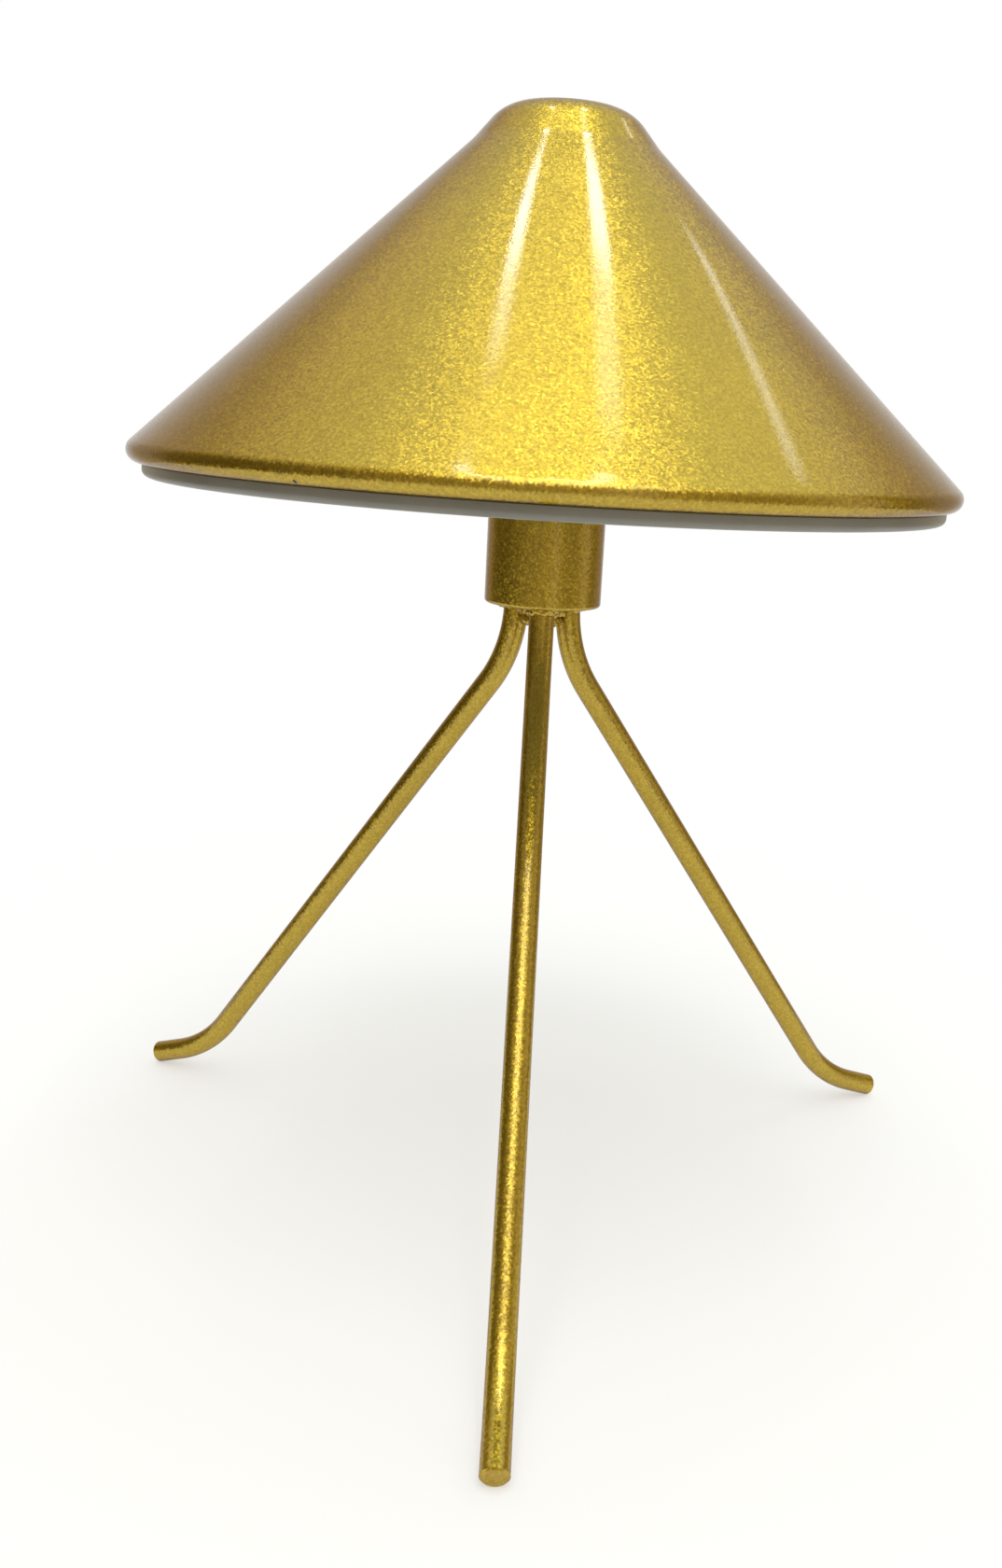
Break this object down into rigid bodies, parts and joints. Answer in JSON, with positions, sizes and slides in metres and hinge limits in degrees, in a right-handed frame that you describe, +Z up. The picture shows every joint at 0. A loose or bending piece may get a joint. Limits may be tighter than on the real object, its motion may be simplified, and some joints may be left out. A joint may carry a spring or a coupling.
{
  "type": "tripod table lamp",
  "caption": "Cordless table lamp: a conical metal shade closed by an opal diffuser, on a short round hub with splayed bent-rod legs; push button and charging port on the hub's back.",
  "frame": {"origin": "on the floor, under the axis of the hub and the shade", "axes": "+Z up along the hub's axis; the front leg points to -Y; the charging port and the button face +Y"},
  "size_m": [0.2168, 0.2203, 0.2623],
  "materials": {
    "gold_paint": "metallic flake lacquer, glossy",
    "opal": "opal, satin",
    "black_moulding": "fine moulded grain",
    "button_moulding": "smooth moulding",
    "steel": "zinc plated",
    "aluminium": "plain sheet and turned",
    "cell": "shrunk sleeve",
    "foam": "closed-cell foam",
    "rubber": "smooth",
    "lead_sleeve": "smooth insulation",
    "circuit_board": "solder mask",
    "white_board": "white solder mask on aluminium",
    "light_chip": "phosphor gel"
  },
  "bodies": {
    "lamp": {"leg_front": "gold_paint", "leg_rear_left": "gold_paint", "leg_rear_right": "gold_paint", "leg_welds": "gold_paint", "hub_floor": "gold_paint", "hub_tube": "gold_paint", "battery_cell": "cell", "battery_pads": "foam", "battery_leads": "lead_sleeve", "control_board": "circuit_board", "control_chips": "black_moulding", "board_rails": "black_moulding", "usb_c_socket": "steel", "port_bezel": "black_moulding", "tact_switch": "black_moulding", "button_bezel": "black_moulding", "led_leads": "lead_sleeve", "lead_grommet": "rubber", "led_carrier": "aluminium", "led_ring_board": "white_board", "led_chips": "light_chip", "carrier_screws": "steel", "collar_screws": "steel", "diffuser": "opal", "tube_seal": "rubber", "tube_top_plug": "aluminium", "plug_screws": "steel", "spring_washer": "steel", "lock_nut": "steel", "shade_stud": "steel", "shade_shell": "gold_paint"},
    "power_button": {"button_cap": "button_moulding", "switch_plunger": "black_moulding"}
  },
  "joints": [
    {"name": "button_press", "type": "slide", "parent": "lamp", "child": "power_button", "axis": [0, -1, 0], "range_m": [0, 0.0004], "stiffness_N_per_m": 3000}
  ]
}
